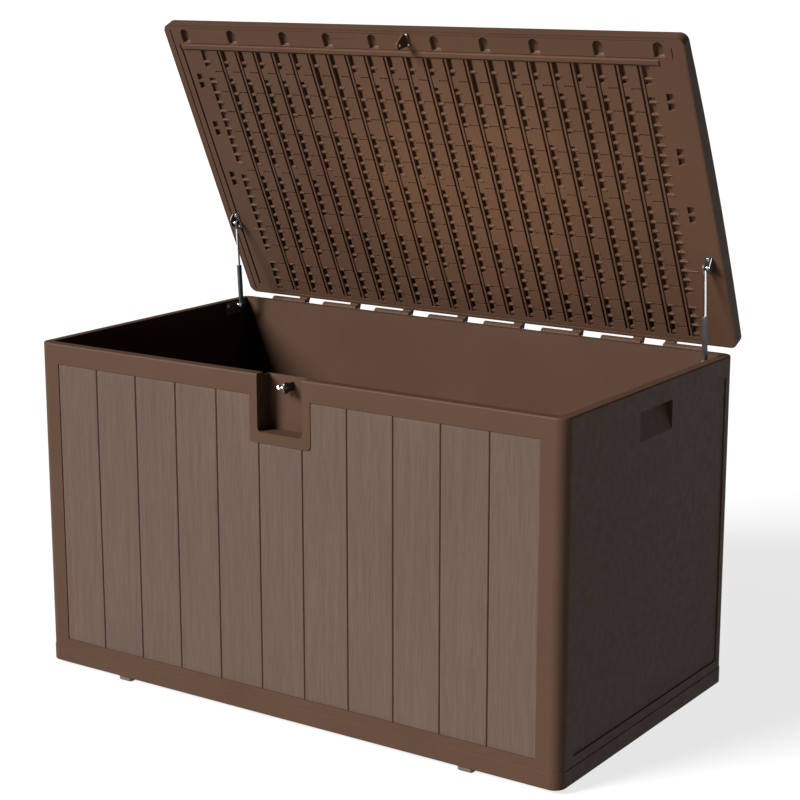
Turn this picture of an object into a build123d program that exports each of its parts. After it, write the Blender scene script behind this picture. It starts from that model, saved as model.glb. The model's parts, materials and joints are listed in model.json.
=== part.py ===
from build123d import *
import math
import os

# Deck storage box with a lid that stands open on two gas struts.
# Millimetres. X runs along the box, -Y is the front, +Z is up.
# The origin is under the middle foot, on the ground.
# The lid, struts and lock pin are modelled open, which is joint value 0.

os.makedirs("parts", exist_ok=True)

# ---------- driving dimensions ----------
BOX_LENGTH = 1344.0
BOX_DEPTH = 738.0
BODY_HEIGHT = 745.0            # underside of the base tray to the rim
FOOT_HEIGHT = 10.0
CORNER_RADIUS = 25.0
EDGE_RADIUS = 3.0

# walls: two skins with ribs between them
WALL = 22.0
SKIN = 2.2
RIB = 4.0
FACE_RECESS = 2.2              # boards lie this far behind the frame
RIM_EDGE_RADIUS = 4.0

# front, back and side frames around the board fields
TOP_RAIL = 45.0
BOTTOM_RAIL = 21.0
FRONT_STILE = 55.0
SIDE_STILE_FRONT = 53.0
SIDE_STILE_BACK = 38.0
BOARD_COUNT = 11
MIDDLE_BOARDS = 3              # boards on the front wall's middle section
GROOVE_WIDTH = 4.0
GROOVE_DEPTH = 2.0

# keys that join the side walls to the front and back walls, and the front wall's sections
KEY_THICKNESS = 8.0
KEY_REACH = 10.0
KEY_BEVEL = 1.0
SLIDE_GAP = 0.2                # clearance of a piece that slides into a slot

# base tray and feet
BASE_HEIGHT = 36.0
BASE_PROUD = 1.2               # tray stands out past the walls
BASE_TOP_RADIUS = 1.0
FLOOR_PLATE = 3.0
TRAY_RIM = 12.0
TRAY_RIB = 3.0
TRAY_CELLS_X = 10
TRAY_CELLS_Y = 5
LIP_HEIGHT = 24.0
LIP_THICKNESS = 3.0
FOOT_LENGTH = 36.0
FOOT_WIDTH = 30.0
FOOT_SPREAD = 904.0            # between the feet of the front pair
FOOT_EDGE_INSET = 3.0
FOOT_RADIUS = 6.0
FOOT_BEVEL = 1.5
MIDDLE_FOOT = 60.0
FOOT_PEG_RADIUS = 6.0
FOOT_PEG_LENGTH = 14.0

# pan-head screws of the walls
WALL_SCREW_HEAD = 5.0
WALL_SCREW_SHANK = 2.0
WALL_SCREW_LENGTH = 9.0
WALL_SCREW_CAP = 2.4
WALL_SCREWS_LONG = 6           # along the front and along the back
WALL_SCREWS_SHORT = 4          # along each side
SIDE_SCREW_INSET = 60.0        # outer side screws from the seams
HEAD_ROUNDING = 0.45           # share of a screw head's height
HEAD_SLOT = 0.8                # width of the cross in a screw head

# latch recess in the middle of the front wall
RECESS_WIDTH = 116.0
RECESS_HEIGHT = 123.0
RECESS_DEPTH = 44.0
RECESS_RADIUS = 9.0
RECESS_SKIN = 3.0
TRIM_BORDER = 20.0
TRIM_BOTTOM = 23.0
TRIM_RADIUS = 11.0
POCKET_DROP = 6.0              # pocket walls stop below the rim for the lid's bead

# lock: eye plate on the wall, pin that slides through it into the lid's fin
LOCK_DROP = 27.0               # pin axis below the rim
LOCK_DEPTH = 20.0              # pin axis behind the front face
EYE_RIGHT = 4.0                # plate's right face from the box's middle
EYE_THICKNESS = 3.0
EYE_HEIGHT = 24.0
EYE_FRONT_REACH = 8.0          # in front of the pin axis
EYE_ROUNDING = 0.8             # corner radius as a share of that reach
EYE_TAIL_HEIGHT = 19.0
EYE_PLATE_SIZE = 34.0
EYE_PLATE_THICKNESS = 3.0
EYE_PLATE_RADIUS = 3.0
PIN_RADIUS = 3.0
PIN_GAP = 0.08
PIN_HEAD_RADIUS = 7.0
PIN_TRAVEL = 8.0
PIN_TIP_BEVEL = 0.5
FIN_THICKNESS = 4.0
FIN_GAP = 2.0                  # between the eye plate and the fin
FIN_HOLE_RADIUS = 4.5
FIN_TIP = 9.0                  # fin beyond the hole's centre
FIN_SHOULDER = 8.0             # half width beside the hole
FIN_POINT = 5.0                # half width at the tip
FIN_SLOPE = 4.0                # from the tip up to the shoulder
FIN_LENGTH = 30.0
FIN_FLANGE = 12.0
FIN_FLANGE_THICKNESS = 2.5
FIN_SCREW_HEAD = 3.0
FIN_SCREW_CAP = 1.6
FIN_SCREW_PITCH = 22.0
FIN_BEVEL = 6.0                # upright ends below the flange

# hand grips under the side rails
GRIP_WIDTH = 142.0
GRIP_HEIGHT = 63.0
GRIP_DEPTH = 14.0
GRIP_LIP = 8.0                 # upright finger face at the top of the scoop
SIDE_CELLS = 6                 # hollows inside a side wall

# hinge row along the back
HINGE_COUNT = 8
HINGE_WIDTH = 100.0
KNUCKLE_WIDTH = 24.0
HINGE_END_INSET = 78.0
HINGE_AXIS_BEHIND = 20.0       # behind the back face
HINGE_AXIS_DROP = 8.0          # below the rim
BARREL_RADIUS = 11.5
HINGE_PIN_RADIUS = 4.0
HINGE_PIN_HEAD_RADIUS = 6.5
HINGE_PIN_HEAD = 3.0
HINGE_PIN_GAP = 0.1
HINGE_PIN_END = 2.0            # pin past the barrels
HINGE_SIDE_GAP = 0.5
LEAF_HEIGHT = 62.0
LEAF_THICKNESS = 8.0
LEAF_SCREW_RADIUS = 2.5
LEAF_SCREW_HEAD = 5.0
LEAF_SCREW_CAP = 3.0
LEAF_SCREW_LENGTH = 14.0
LEAF_SCREW_RISE = 16.0         # above the leaf's lower edge
LEAF_SCREW_SHARES = (0.2, 0.8)  # across the leaf
LEAF_BEVEL = 4.0
LEAF_FIELD_GAP = 8.0           # between the back boards and the leaves
LID_LEAF_THICKNESS = 4.0
LID_LEAF_HEIGHT = 20.0
LID_LEAF_RISE = 3.0            # above the lid's underside
KNUCKLE_SCREW_HEAD = 3.2
KNUCKLE_SCREW_CAP = 1.6
KNUCKLE_SCREW_DROP = 4.0       # below the leaf's top edge

# lid: crowned top shell over a ribbed liner
LID_OPEN_ANGLE = 64.74
LID_GAP = 1.0                  # between rim and lid when closed
LID_FRONT_OVERHANG = 0.0
LID_SIDE_INSET = 2.5
LID_HINGE_GAP = 1.0            # between lid's rear face and hinge barrels
LID_EDGE_HEIGHT = 30.0
LID_CROWN = 12.0
LID_CORNER_RADIUS = 18.0
LID_SKIN = 3.0
LID_TOP_RADIUS = 8.0
LINER_GAP = 0.3
LINER_THICKNESS = 3.0
BEAD_HEIGHT = 3.5
BEAD_WIDTH = 10.0
BEAD_FRONT = 50.0              # from the lid's front edge
BEAD_SIDE = 25.0
BEAD_REAR = 34.0
BEAD_BREAK = 2.0               # gap from the bead's ends to the strut brackets
LINER_RIB_COUNT = 22
LINER_RIB_WIDTH = 4.5
LINER_RIB_HEIGHT = 2.0
LINER_RIB_MARGIN = 13.0
LINER_RIB_LEFT = 143.0         # first rib's centre from the lid's left end
LINER_RIB_RIGHT = 105.0        # last rib's centre from the lid's right end
SLOT_LENGTH = 36.0
SLOT_WIDTH = 22.0
SLOT_FRONT = 11.0
SLOT_SPOTS = (0.119, 0.301, 0.480, 0.701, 0.901)   # shares of the way from the middle to each end
SPAR_COUNT = 9
SPAR_THICKNESS = 2.5
SPAR_INSET = 58.0
LINER_ROOM = 9.0               # height left above the liner's underside for its pockets
SCREW_BLOCK_WIDTH = 16.0
SCREW_BLOCK_DEPTH = 12.0
SCREW_BLOCK_DROP = 6.0         # below the lid's upper edge
LID_SCREW_RADIUS = 2.0
LID_SCREW_HEAD = 4.0
LID_SCREW_CAP = 2.0
LID_SCREW_LENGTH = 11.0

# gas struts
STRUT_INSET = 17.0             # strut axis from the wall's inner face
STRUT_BODY_FORWARD = 66.0      # body pivot in front of the back face
STRUT_BODY_DROP = 12.0         # body pivot below the rim
STRUT_LID_REACH = 226.0        # lid pivot in front of the hinge axis, lid closed
STRUT_LID_DROP = 12.0          # lid pivot below the lid's underside
CYLINDER_RADIUS = 6.0
CYLINDER_WALL = 0.9
CYLINDER_START = 8.0           # from the body pivot
CYLINDER_END = 101.0
CYLINDER_FLOOR = 2.0
CYLINDER_ROUNDING = 0.4
ROD_RADIUS = 3.0
ROD_GAP = 0.08
GLAND_LENGTH = 6.0
PISTON_LENGTH = 7.0
PISTON_GAP = 0.3
PISTON_STOP = 0.5              # piston below the gland, strut open
BALL_RADIUS = 4.0
BALL_NECK = 2.2
BALL_COLLAR = 4.0
SOCKET_RADIUS = 6.5
SOCKET_HALF = 5.0              # half its width along the ball's stud
SOCKET_BEVEL = 0.6
SOCKET_NECK = 8.0              # of the upper socket, around the rod
SOCKET_GAP = 0.3
OPEN_PIVOT_GAP = 0.5           # rod socket beside the lid's ball
BRACKET_LENGTH = 92.0
BRACKET_HEIGHT = 30.0
BRACKET_THICKNESS = 3.0
BRACKET_RADIUS = 4.0
BRACKET_FORWARD = 7.0          # plate's middle in front of the ball
BRACKET_DROP = 4.0             # plate's top edge below the rim
BRACKET_SCREW_PITCH = 58.0
BRACKET_SCREW_RADIUS = 2.0
BRACKET_SCREW_HEAD = 4.5
BRACKET_SCREW_CAP = 2.4
BRACKET_SCREW_LENGTH = 8.0
LID_BRACKET_LENGTH = 40.0
LID_BRACKET_FOOT = 18.0
LID_BRACKET_THICKNESS = 2.0
LID_BRACKET_INSET = 2.5        # outer face from the wall's inner face
LID_BRACKET_SCREW_PITCH = 28.0
LID_BRACKET_TAB = 16.0         # width of the tab at the ball
LID_BRACKET_END = 6.0          # tab below the ball's centre

# ---------- places worked out from the dimensions ----------
BASE_BOTTOM = FOOT_HEIGHT
WALL_BOTTOM = BASE_BOTTOM + BASE_HEIGHT
RIM = BASE_BOTTOM + BODY_HEIGHT
HALF_LENGTH = BOX_LENGTH / 2
FRONT = -BOX_DEPTH / 2
BACK = BOX_DEPTH / 2
INNER_X = HALF_LENGTH - WALL
INNER_FRONT = FRONT + WALL
INNER_BACK = BACK - WALL
FRONT_SEAM = FRONT + SIDE_STILE_FRONT
BACK_SEAM = BACK - SIDE_STILE_BACK
FIELD_BOTTOM = WALL_BOTTOM + BOTTOM_RAIL
FIELD_TOP = RIM - TOP_RAIL
FIELD_HALF = HALF_LENGTH - FRONT_STILE
BOARD_PITCH = 2 * FIELD_HALF / BOARD_COUNT
SECTION_SEAM = MIDDLE_BOARDS / 2 * BOARD_PITCH
FRONT_CORE_Y = (FRONT + FACE_RECESS + INNER_FRONT) / 2

AXIS_Y = BACK + HINGE_AXIS_BEHIND
AXIS_Z = RIM - HINGE_AXIS_DROP
LEAF_LOW = AXIS_Z - LEAF_HEIGHT
SCREW_Z = WALL_BOTTOM + LIP_HEIGHT / 2
LID_UNDER = RIM + LID_GAP
LID_FRONT = FRONT - LID_FRONT_OVERHANG
LID_REAR = AXIS_Y - BARREL_RADIUS - LID_HINGE_GAP
LID_HALF = HALF_LENGTH - LID_SIDE_INSET
LID_DEPTH = LID_REAR - LID_FRONT
LID_MIDDLE_Y = (LID_REAR + LID_FRONT) / 2

RECESS_BOTTOM = RIM - RECESS_HEIGHT
RECESS_BACK = FRONT + RECESS_DEPTH
PIN_Y = FRONT + LOCK_DEPTH
PIN_Z = RIM - LOCK_DROP
EYE_LEFT = EYE_RIGHT - EYE_THICKNESS
FIN_LEFT = EYE_RIGHT + FIN_GAP
FIN_RIGHT = FIN_LEFT + FIN_THICKNESS

STRUT_X = INNER_X - STRUT_INSET
BODY_PIVOT = (BACK - STRUT_BODY_FORWARD, RIM - STRUT_BODY_DROP)
LID_PIVOT_CLOSED = (AXIS_Y - STRUT_LID_REACH, LID_UNDER - STRUT_LID_DROP)
PISTON_MIDDLE = CYLINDER_END - GLAND_LENGTH - PISTON_STOP - PISTON_LENGTH / 2


# ---------- helpers ----------
# cutters run 1 mm or 2 mm past the faces they open
def block(x0, x1, y0, y1, z0, z1):
    """Box between two corners."""
    place = Pos((x0 + x1) / 2, (y0 + y1) / 2, (z0 + z1) / 2)
    return place * Box(x1 - x0, y1 - y0, z1 - z0)


def rod_x(radius, x0, x1, y, z):
    """Cylinder along X."""
    return Pos((x0 + x1) / 2, y, z) * Rot(0, 90, 0) * Cylinder(radius, x1 - x0)


def rod_y(radius, y0, y1, x, z):
    """Cylinder along Y."""
    return Pos(x, (y0 + y1) / 2, z) * Rot(90, 0, 0) * Cylinder(radius, y1 - y0)


def rod_z(radius, z0, z1, x, y):
    """Cylinder along Z."""
    return Pos(x, y, (z0 + z1) / 2) * Cylinder(radius, z1 - z0)


def ball_x(radius, x, y, z):
    """Ball whose poles lie on the X direction, for a coaxial shank."""
    return Pos(x, y, z) * Rot(0, 90, 0) * Sphere(radius)


def plate_yz(points, x0, x1):
    """Plate between x0 and x1 with the outline given as (y, z) points."""
    outline = Polyline([(x0, y, z) for y, z in points], close=True)
    return extrude(make_face(outline), amount=x1 - x0, dir=(1, 0, 0))


def slab(length, depth, radius, middle_y, z0, z1):
    """Flat slab with rounded vertical corners."""
    outline = Pos(0, middle_y, z0) * RectangleRounded(length, depth, radius)
    return extrude(outline, amount=z1 - z0)


def evenly(first, last, count):
    """Evenly spaced values from first to last."""
    return [first + (last - first) * i / (count - 1) for i in range(count)]


def mirrored(shape, side):
    """The right-hand shape, or its mirror image on the left."""
    return shape if side > 0 else mirror(shape, about=Plane.YZ)


def open_point(y, z):
    """Where a point of the closed lid lies when the lid stands open."""
    turn = math.radians(LID_OPEN_ANGLE)
    dy = y - AXIS_Y
    dz = z - AXIS_Z
    return (AXIS_Y + dy * math.cos(turn) + dz * math.sin(turn),
            AXIS_Z - dy * math.sin(turn) + dz * math.cos(turn))


def opened(shape):
    """Turn a piece of the closed lid to the open rest position."""
    hinge = Pos(0, AXIS_Y, AXIS_Z)
    return hinge * Rot(-LID_OPEN_ANGLE, 0, 0) * Pos(0, -AXIS_Y, -AXIS_Z) * shape


def save(shape, node):
    """Write one node's solids."""
    solids = shape.solids()
    export_step(solids[0] if len(solids) == 1 else Compound(solids), f"parts/{node}.step")


def group(shapes):
    """Separate solids kept in one node."""
    return Compound([solid for shape in shapes for solid in shape.solids()])


# ---------- walls ----------
def wall_ring():
    """All four walls as one tube, cut up into panels later."""
    outer = slab(BOX_LENGTH, BOX_DEPTH, CORNER_RADIUS, 0, WALL_BOTTOM, RIM)
    outer = fillet(outer.faces().sort_by(Axis.Z)[-1].edges(), RIM_EDGE_RADIUS)
    return outer - block(-INNER_X, INNER_X, INNER_FRONT, INNER_BACK, WALL_BOTTOM - 1, RIM + 1)


def key_bars(gap):
    """Upright bars across every seam, made smaller by the gap on each side."""
    half = KEY_THICKNESS / 2 - gap
    reach = KEY_REACH - gap
    top = FIELD_TOP - gap
    bars = []
    for side in (-1, 1):
        x = side * (HALF_LENGTH - WALL / 2)
        for y in (FRONT_SEAM, BACK_SEAM):
            bars.append(block(x - half, x + half, y - reach, y + reach, WALL_BOTTOM, top))
        x = side * SECTION_SEAM
        bars.append(block(x - reach, x + reach, FRONT_CORE_Y - half, FRONT_CORE_Y + half, WALL_BOTTOM, top))
    return bars


def key_slots():
    """Slots for the keys, half in each panel."""
    return key_bars(0)


def panel_keys():
    """Six flat bars that tie the panels together at the seams."""
    return group([chamfer(bar.edges().filter_by(Axis.Z), KEY_BEVEL) for bar in key_bars(SLIDE_GAP)])


def screw_spots():
    """(x, y, direction) of each wall screw, on the face of the tray's lip."""
    lip_x = INNER_X - LIP_THICKNESS - SLIDE_GAP
    lip_front = INNER_FRONT + LIP_THICKNESS + SLIDE_GAP
    lip_back = INNER_BACK - LIP_THICKNESS - SLIDE_GAP
    along = 0.5 * BOARD_PITCH
    spots = []
    for x in evenly(-FIELD_HALF + along, FIELD_HALF - along, WALL_SCREWS_LONG):
        spots.append((x, lip_front, "front"))
        spots.append((x, lip_back, "back"))
    for y in evenly(FRONT_SEAM + SIDE_SCREW_INSET, BACK_SEAM - SIDE_SCREW_INSET, WALL_SCREWS_SHORT):
        spots.append((-lip_x, y, "left"))
        spots.append((lip_x, y, "right"))
    return spots


# turns the Z axis to point towards each side
TURNS = {"front": Rot(90, 0, 0), "back": Rot(-90, 0, 0), "left": Rot(0, -90, 0),
         "right": Rot(0, 90, 0), "up": Rot(0, 0, 0)}


def screw(radius, head_radius, cap, length, x, y, z, toward):
    """Pan-head screw whose head sits on the surface at (x, y, z), shank going toward."""
    head = Pos(0, 0, -cap / 2) * Cylinder(head_radius, cap)
    head = fillet(head.faces().sort_by(Axis.Z)[0].edges(), cap * HEAD_ROUNDING)
    arm = head_radius * 1.1
    head -= Pos(0, 0, -cap) * (Box(arm, HEAD_SLOT, cap) + Box(HEAD_SLOT, arm, cap))
    shank = Pos(0, 0, length / 2) * Cylinder(radius, length)
    return Pos(x, y, z) * TURNS[toward] * (head + shank)


def screw_hole(radius, length, x, y, z, toward):
    """Hole that a screw's shank goes through, from the surface inward."""
    hole = Pos(0, 0, length / 2) * Cylinder(radius, length + 2)
    return Pos(x, y, z) * TURNS[toward] * hole


def wall_screw_holes():
    return [screw_hole(WALL_SCREW_SHANK, WALL_SCREW_LENGTH, x, y, SCREW_Z, toward)
            for x, y, toward in screw_spots()]


def board_grooves(face_y, outward, z_low, lows):
    """V grooves between the boards of a long wall."""
    cuts = []
    for i in range(1, BOARD_COUNT):
        x = -FIELD_HALF + i * BOARD_PITCH
        low = lows.get(i, z_low)
        half = GROOVE_WIDTH / 2
        tip = face_y - outward * GROOVE_DEPTH
        outline = Polyline([(x - half, face_y, FIELD_BOTTOM), (x + half, face_y, FIELD_BOTTOM),
                            (x, tip, FIELD_BOTTOM)], close=True)
        cuts.append(extrude(make_face(outline), amount=low - FIELD_BOTTOM, dir=(0, 0, 1)))
    return cuts


def board_cavities(y0, y1, tops):
    """Space between the two skins behind each board, open at the bottom."""
    cuts = []
    for i in range(BOARD_COUNT):
        x0 = -FIELD_HALF + i * BOARD_PITCH + RIB / 2
        x1 = x0 + BOARD_PITCH - RIB
        top = tops.get(i, RIM - RIM_EDGE_RADIUS - SKIN)
        cuts.append(block(x0, x1, y0, y1, WALL_BOTTOM - 1, top))
    return cuts


def corner_cavities(y0, y1):
    """Space inside the two corner posts of a long wall."""
    top = RIM - RIM_EDGE_RADIUS - SKIN
    # the cavity's outer edge stays one skin inside the rounded corner
    inside = CORNER_RADIUS - SKIN
    inset = CORNER_RADIUS - math.sqrt(inside ** 2 - (inside - FACE_RECESS) ** 2)
    return [block(side * (FIELD_HALF + RIB / 2) if side > 0 else -(HALF_LENGTH - inset),
                  HALF_LENGTH - inset if side > 0 else -(FIELD_HALF + RIB / 2),
                  y0, y1, WALL_BOTTOM - 1, top) for side in (-1, 1)]


def front_wall(ring):
    """Front wall with its corner posts, boards and latch recess, before it is cut in three."""
    panel = ring & block(-HALF_LENGTH, HALF_LENGTH, FRONT, FRONT_SEAM, WALL_BOTTOM, RIM)
    half = RECESS_WIDTH / 2
    pocket = block(-half - RECESS_SKIN, half + RECESS_SKIN, INNER_FRONT - 1, RECESS_BACK + RECESS_SKIN,
                   RECESS_BOTTOM - RECESS_SKIN, RIM - POCKET_DROP)
    pocket = fillet(pocket.edges().filter_by(Axis.Y).sort_by(Axis.Z)[:2], RECESS_RADIUS + RECESS_SKIN)
    panel += pocket
    # boards set back inside the frame, with the latch trim left standing
    trim_half = half + TRIM_BORDER
    trim_low = RECESS_BOTTOM - TRIM_BOTTOM
    field = block(-FIELD_HALF, FIELD_HALF, FRONT - 1, FRONT + FACE_RECESS, FIELD_BOTTOM, FIELD_TOP)
    trim = block(-trim_half, trim_half, FRONT - 2, FRONT + FACE_RECESS + 1, trim_low, FIELD_TOP + 40)
    trim = fillet(trim.edges().filter_by(Axis.Y).sort_by(Axis.Z)[:2], TRIM_RADIUS)
    field -= trim
    # recess, open at the front and at the top
    recess = block(-half, half, FRONT - 1, RECESS_BACK, RECESS_BOTTOM, RIM + 20)
    recess = fillet(recess.edges().filter_by(Axis.Y).sort_by(Axis.Z)[:2], RECESS_RADIUS)
    cuts = [field, recess]
    middle = BOARD_COUNT // 2
    behind_trim = {i: trim_low for i in (middle, middle + 1)}
    cuts += board_grooves(FRONT + FACE_RECESS, -1, FIELD_TOP, behind_trim)
    cavity_front = FRONT + FACE_RECESS + SKIN
    cavity_back = INNER_FRONT - SKIN
    beside = half + RECESS_SKIN
    # solid around the recess and around the keys between the sections
    solid = [block(-beside, beside, FRONT, INNER_FRONT, RECESS_BOTTOM - RECESS_SKIN, RIM)]
    reach = KEY_REACH + RIB
    solid += [block(side * SECTION_SEAM - reach, side * SECTION_SEAM + reach, FRONT, INNER_FRONT,
                    WALL_BOTTOM - 1, RIM) for side in (-1, 1)]
    for cavity in board_cavities(cavity_front, cavity_back, {middle: RECESS_BOTTOM - RECESS_SKIN}):
        cuts.append(cavity - solid)
    cuts += corner_cavities(cavity_front, cavity_back)
    cuts += key_slots()
    cuts += wall_screw_holes()
    cuts.append(eye_plate_space())
    return panel - cuts


def front_section(wall, x0, x1):
    """One section of the front wall."""
    return wall & block(x0, x1, FRONT - 1, FRONT + 2 * RECESS_DEPTH, WALL_BOTTOM, RIM)


def back_panel(ring):
    """Back wall with its corner posts and boards."""
    panel = ring & block(-HALF_LENGTH, HALF_LENGTH, BACK_SEAM, BACK, WALL_BOTTOM, RIM)
    field_top = LEAF_LOW - LEAF_FIELD_GAP
    cuts = [block(-FIELD_HALF, FIELD_HALF, BACK - FACE_RECESS, BACK + 1, FIELD_BOTTOM, field_top)]
    cuts += board_grooves(BACK - FACE_RECESS, 1, field_top, {})
    cavity_front = INNER_BACK + SKIN
    cavity_back = BACK - FACE_RECESS - SKIN
    cuts += board_cavities(cavity_front, cavity_back, {})
    cuts += corner_cavities(cavity_front, cavity_back)
    cuts += key_slots()
    cuts += wall_screw_holes()
    cuts += [screw_hole(LEAF_SCREW_RADIUS, LEAF_SCREW_LENGTH, x, BACK, z, "front")
             for x, z in leaf_screw_spots()]
    return panel - cuts


def side_panel(ring, side):
    """Side wall with a plain field, a hand grip and the strut's screw holes."""
    x0, x1 = (0, HALF_LENGTH) if side > 0 else (-HALF_LENGTH, 0)
    panel = ring & block(x0, x1, FRONT_SEAM, BACK_SEAM, WALL_BOTTOM, RIM)
    face = HALF_LENGTH - FACE_RECESS
    field = block(face, HALF_LENGTH + 1, FRONT_SEAM, BACK_SEAM, FIELD_BOTTOM, FIELD_TOP)
    # grip: a scoop that gets deeper towards the rail above it
    middle = (FRONT_SEAM + BACK_SEAM) / 2
    low = FIELD_TOP - GRIP_HEIGHT
    outline = Polyline([(face + 1, middle - GRIP_WIDTH / 2, low), (face, middle - GRIP_WIDTH / 2, low),
                        (face - GRIP_DEPTH, middle - GRIP_WIDTH / 2, FIELD_TOP - GRIP_LIP),
                        (face - GRIP_DEPTH, middle - GRIP_WIDTH / 2, FIELD_TOP),
                        (face + 1, middle - GRIP_WIDTH / 2, FIELD_TOP)], close=True)
    grip = extrude(make_face(outline), amount=GRIP_WIDTH, dir=(0, 1, 0))
    cuts = [field, grip]
    # ribbed space between the skins, clear of the grip and of the key slots
    clear = middle - GRIP_WIDTH / 2 - RIB, middle + GRIP_WIDTH / 2 + RIB
    first = FRONT_SEAM + KEY_REACH + RIB
    pitch = (BACK_SEAM - FRONT_SEAM - 2 * KEY_REACH - RIB) / SIDE_CELLS
    inner = INNER_X + SKIN
    outer = HALF_LENGTH - FACE_RECESS - SKIN
    for i in range(SIDE_CELLS):
        cell = block(inner, outer, first + i * pitch, first + (i + 1) * pitch - RIB,
                     WALL_BOTTOM - 1, RIM - RIM_EDGE_RADIUS - SKIN)
        cuts.append(cell - block(inner, outer, clear[0], clear[1], low - RIB, RIM))
    cuts = [mirrored(cut, side) for cut in cuts]
    cuts += key_slots()
    cuts += wall_screw_holes()
    cuts += bracket_screw_holes(side)
    return panel - cuts


# ---------- base ----------
def foot_spots():
    """(x, y, length, width) of each foot."""
    x = FOOT_SPREAD / 2
    y = BACK - FOOT_EDGE_INSET - FOOT_WIDTH / 2
    spots = [(sx * x, sy * y, FOOT_LENGTH, FOOT_WIDTH) for sx in (-1, 1) for sy in (-1, 1)]
    return spots + [(0, 0, MIDDLE_FOOT, MIDDLE_FOOT)]


def base_tray():
    """Floor with a ribbed underside and a lip that the walls stand around."""
    tray = slab(BOX_LENGTH + 2 * BASE_PROUD, BOX_DEPTH + 2 * BASE_PROUD, CORNER_RADIUS + BASE_PROUD,
                0, BASE_BOTTOM, WALL_BOTTOM)
    tray = fillet(tray.faces().sort_by(Axis.Z)[0].edges(), EDGE_RADIUS)
    tray = fillet(tray.faces().sort_by(Axis.Z)[-1].edges(), BASE_TOP_RADIUS)
    pitch_x = (BOX_LENGTH - 2 * TRAY_RIM + TRAY_RIB) / TRAY_CELLS_X
    pitch_y = (BOX_DEPTH - 2 * TRAY_RIM + TRAY_RIB) / TRAY_CELLS_Y
    cells = []
    for i in range(TRAY_CELLS_X):
        for j in range(TRAY_CELLS_Y):
            x = -HALF_LENGTH + TRAY_RIM + i * pitch_x
            y = FRONT + TRAY_RIM + j * pitch_y
            cells.append(block(x, x + pitch_x - TRAY_RIB, y, y + pitch_y - TRAY_RIB,
                               BASE_BOTTOM - 1, WALL_BOTTOM - FLOOR_PLATE))
    tray -= cells
    # solid pads over the feet
    tray += [block(x - length / 2, x + length / 2, y - width / 2, y + width / 2,
                   BASE_BOTTOM, WALL_BOTTOM - FLOOR_PLATE / 2) for x, y, length, width in foot_spots()]
    lip_x = INNER_X - SLIDE_GAP
    lip_front = INNER_FRONT + SLIDE_GAP
    lip_back = INNER_BACK - SLIDE_GAP
    lip = block(-lip_x, lip_x, lip_front, lip_back, WALL_BOTTOM - 1, WALL_BOTTOM + LIP_HEIGHT)
    lip -= block(-lip_x + LIP_THICKNESS, lip_x - LIP_THICKNESS, lip_front + LIP_THICKNESS,
                 lip_back - LIP_THICKNESS, WALL_BOTTOM - 2, WALL_BOTTOM + LIP_HEIGHT + 1)
    tray += lip
    tray -= wall_screw_holes()
    tray -= [rod_z(FOOT_PEG_RADIUS, BASE_BOTTOM - 1, BASE_BOTTOM + FOOT_PEG_LENGTH, x, y)
             for x, y, length, width in foot_spots()]
    return tray


def base_feet():
    """Four edge feet and a middle foot, each with a peg up into the tray."""
    feet = []
    for x, y, length, width in foot_spots():
        pad = block(x - length / 2, x + length / 2, y - width / 2, y + width / 2, 0, FOOT_HEIGHT)
        pad = fillet(pad.edges().filter_by(Axis.Z), FOOT_RADIUS)
        pad = chamfer(pad.faces().sort_by(Axis.Z)[0].edges(), FOOT_BEVEL)
        feet.append(pad + rod_z(FOOT_PEG_RADIUS, FOOT_HEIGHT - 1, FOOT_HEIGHT + FOOT_PEG_LENGTH, x, y))
    return group(feet)


def wall_screws():
    return group([screw(WALL_SCREW_SHANK, WALL_SCREW_HEAD, WALL_SCREW_CAP, WALL_SCREW_LENGTH,
                        x, y, SCREW_Z, toward) for x, y, toward in screw_spots()])


# ---------- lock ----------
def eye_plate_space():
    """Slot in the back of the recess that the eye plate passes through."""
    return block(EYE_LEFT, EYE_RIGHT, RECESS_BACK - 1, RECESS_BACK + RECESS_SKIN + 1,
                 PIN_Z - EYE_TAIL_HEIGHT / 2, PIN_Z + EYE_TAIL_HEIGHT / 2)


def lock_eye():
    """Eye plate with a fixing flange behind the recess wall."""
    eye_back = PIN_Y + EYE_FRONT_REACH
    eye = block(EYE_LEFT, EYE_RIGHT, PIN_Y - EYE_FRONT_REACH, eye_back,
                PIN_Z - EYE_HEIGHT / 2, PIN_Z + EYE_HEIGHT / 2)
    eye = fillet(eye.edges().filter_by(Axis.X), EYE_FRONT_REACH * EYE_ROUNDING)
    tail = block(EYE_LEFT, EYE_RIGHT, PIN_Y, RECESS_BACK + RECESS_SKIN + 1,
                 PIN_Z - EYE_TAIL_HEIGHT / 2, PIN_Z + EYE_TAIL_HEIGHT / 2)
    middle = (EYE_LEFT + EYE_RIGHT) / 2
    half = EYE_PLATE_SIZE / 2
    flange = block(middle - half, middle + half, RECESS_BACK + RECESS_SKIN,
                   RECESS_BACK + RECESS_SKIN + EYE_PLATE_THICKNESS, PIN_Z - half, RIM - POCKET_DROP)
    flange = fillet(flange.edges().filter_by(Axis.Y), EYE_PLATE_RADIUS)
    return eye + tail + flange - rod_x(PIN_RADIUS + PIN_GAP, EYE_LEFT - 1, EYE_RIGHT + 1, PIN_Y, PIN_Z)


def lock_pin():
    """Ball-headed pin, drawn back so that its tip lies inside the eye plate."""
    tip = EYE_RIGHT - EYE_THICKNESS / 4
    head_x = EYE_LEFT - SLIDE_GAP - PIN_TRAVEL - PIN_HEAD_RADIUS
    shank = rod_x(PIN_RADIUS, head_x, tip, PIN_Y, PIN_Z)
    shank = chamfer(shank.faces().sort_by(Axis.X)[-1].edges(), PIN_TIP_BEVEL)
    return shank + ball_x(PIN_HEAD_RADIUS, head_x, PIN_Y, PIN_Z)


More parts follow.
